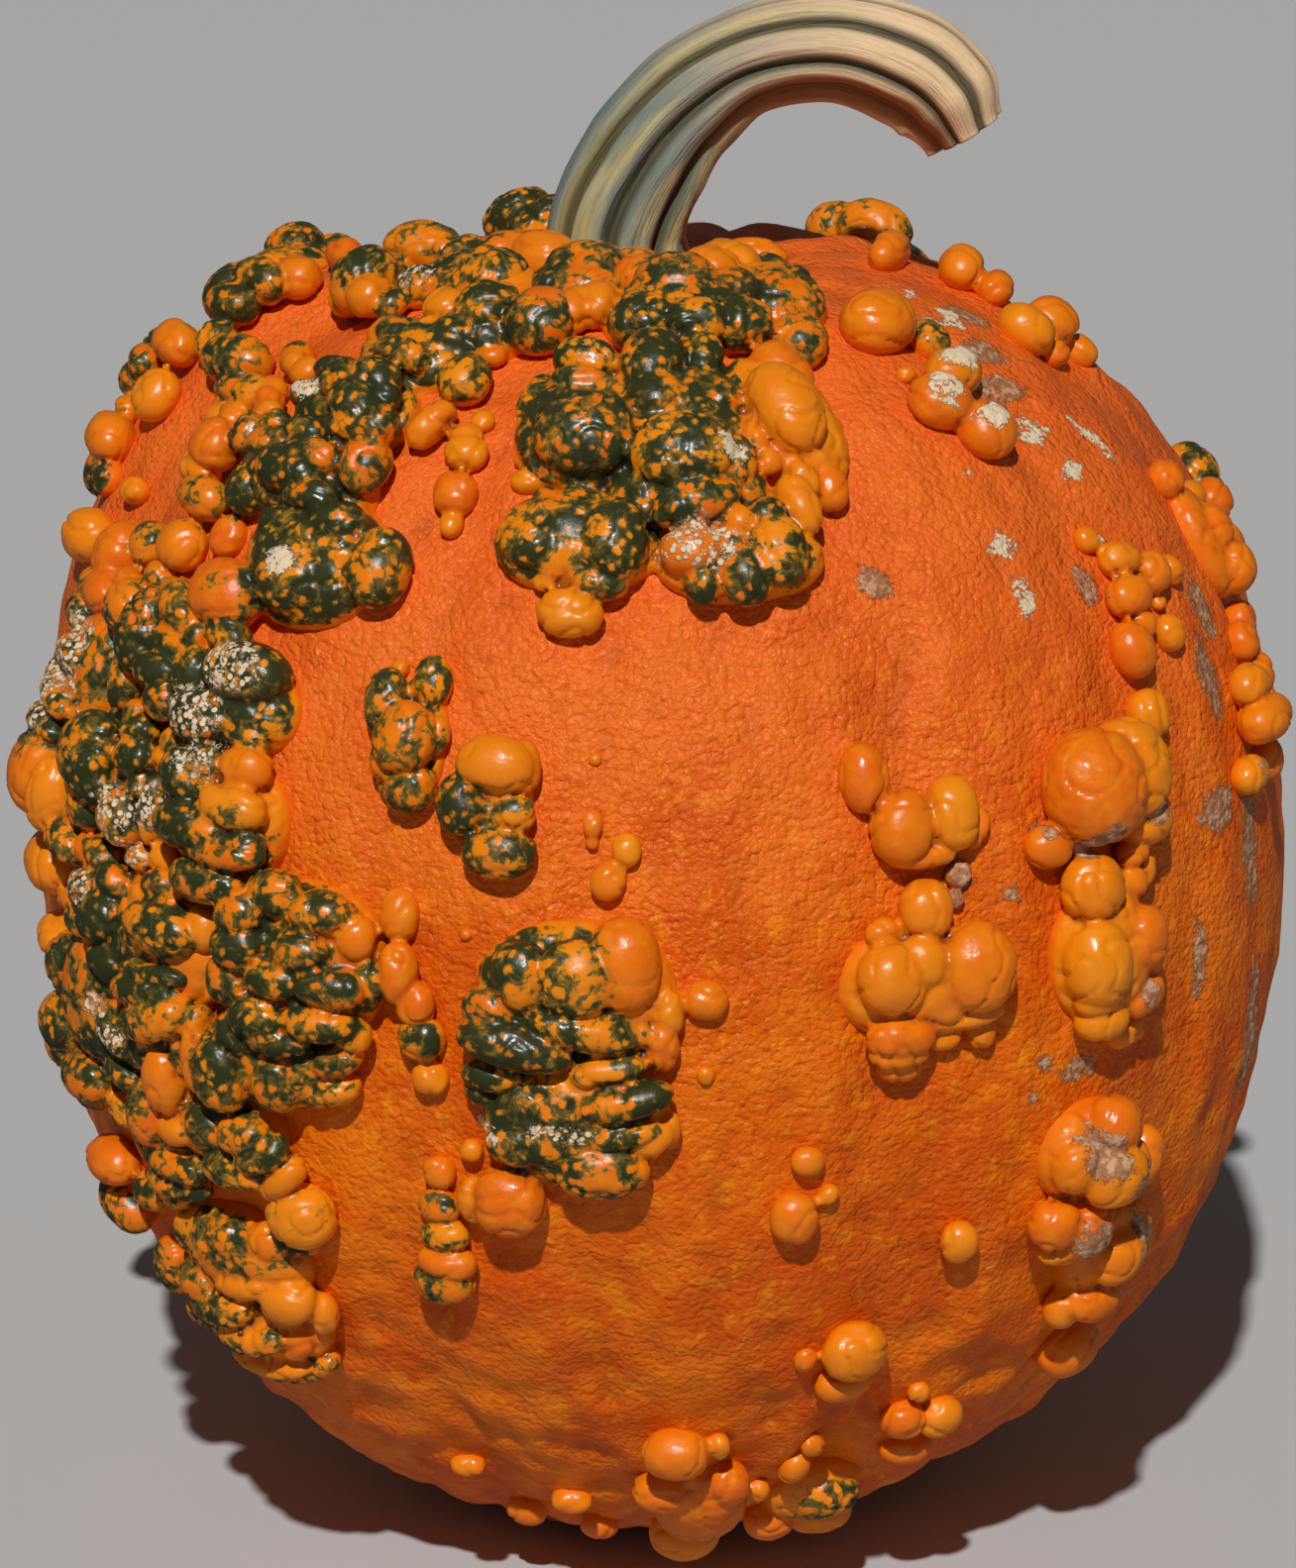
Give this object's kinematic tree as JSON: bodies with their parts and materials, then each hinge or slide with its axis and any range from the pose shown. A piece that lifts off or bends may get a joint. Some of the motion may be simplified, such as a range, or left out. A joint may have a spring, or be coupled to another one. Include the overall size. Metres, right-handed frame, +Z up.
{
  "type": "winter squash",
  "caption": "Warty round winter squash with shallow ribs, heaps of knobbly warts and a short curved, ridged stem; stands on a small flat spot.",
  "frame": {"origin": "centre of the small flat spot that the fruit rests on", "axes": "+Z up along the fruit's core, -Y towards its seen front, the stem bends towards +X"},
  "size_m": [0.2756, 0.2921, 0.3329],
  "materials": {
    "rind": "waxy deep orange rind with a fine leathery grain, warts yellow-orange with dark green marbling",
    "stem": "dry corky stem, grey-green and straw coloured with deep grooves"
  },
  "bodies": {
    "root": {"fruit": "rind", "stem": "stem"}
  },
  "joints": []
}
